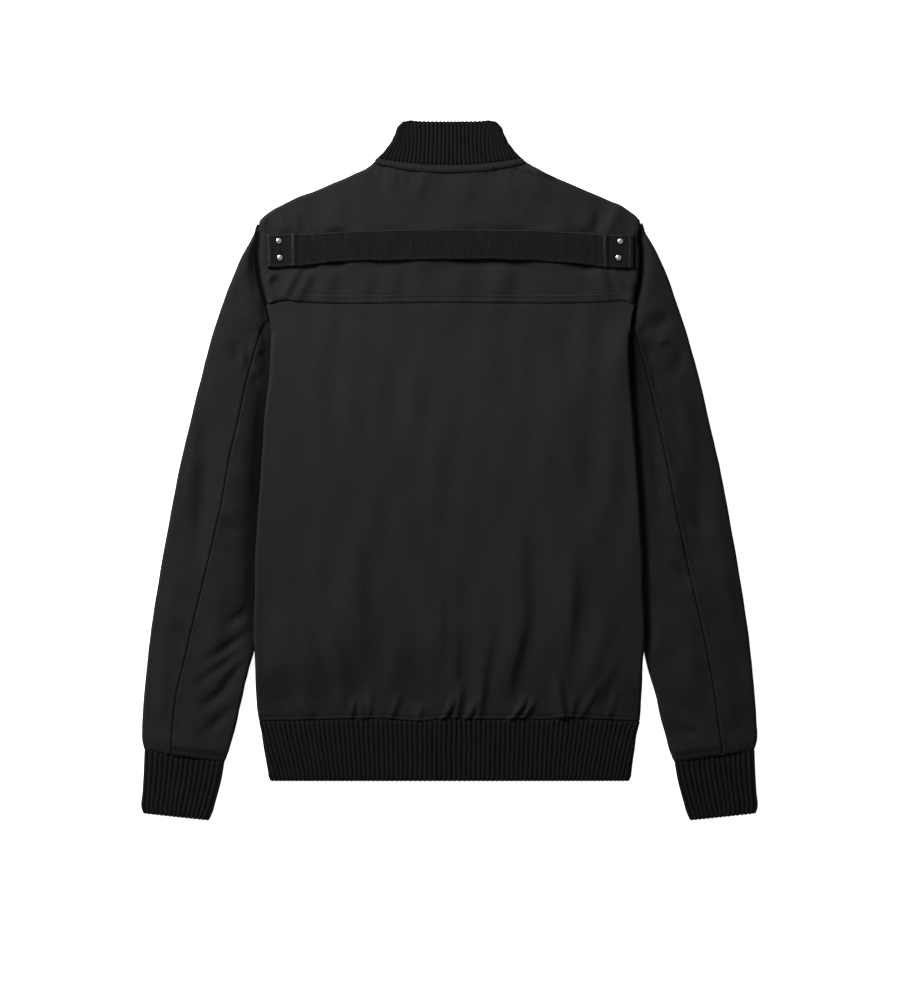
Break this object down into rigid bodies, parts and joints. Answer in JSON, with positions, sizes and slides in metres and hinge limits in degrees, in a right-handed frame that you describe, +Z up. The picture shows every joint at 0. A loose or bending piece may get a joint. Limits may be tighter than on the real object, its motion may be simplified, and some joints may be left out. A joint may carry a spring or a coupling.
{
  "type": "bomber jacket",
  "caption": "Bomber jacket laid flat with its back up: yoke with a raised webbing strap, two-piece sleeves, rib knit collar, cuffs and hem, and a zip front underneath.",
  "frame": {"origin": "middle of the jacket's box, on the surface that it lies on", "axes": "+X to the right of the back as seen, +Y from the hem towards the collar, +Z up from the surface"},
  "size_m": [0.6902, 0.7814, 0.0182],
  "materials": {
    "cloth": "matt black woven cloth with a fine nap",
    "rib_knit": "matt black rib knit",
    "webbing": "matt black woven webbing",
    "rivet_metal": "bright domed rivet",
    "zip_metal": "dark satin metal",
    "zip_tape": "matt black woven tape"
  },
  "bodies": {
    "jacket": {"back_yoke": "cloth", "back_panel": "cloth", "front_left": "cloth", "front_right": "cloth", "sleeve_left_upper": "cloth", "sleeve_left_under": "cloth", "sleeve_right_upper": "cloth", "sleeve_right_under": "cloth", "neck_band": "cloth", "collar": "rib_knit", "hem_rib": "rib_knit", "cuff_left": "rib_knit", "cuff_right": "rib_knit", "back_strap": "webbing", "strap_end_left": "webbing", "strap_end_right": "webbing", "rivet_left_upper": "rivet_metal", "rivet_left_lower": "rivet_metal", "rivet_right_upper": "rivet_metal", "rivet_right_lower": "rivet_metal", "zip_tape_left": "zip_tape", "zip_tape_right": "zip_tape", "zip_slider": "zip_metal"},
    "pull": {"zip_pull": "zip_metal"}
  },
  "joints": [
    {"name": "pull_swing", "type": "hinge", "parent": "jacket", "child": "pull", "pos_m": [0, 0.2665, 0.0016], "axis": [1, 0, 0], "range_deg": [-2, 168]}
  ]
}
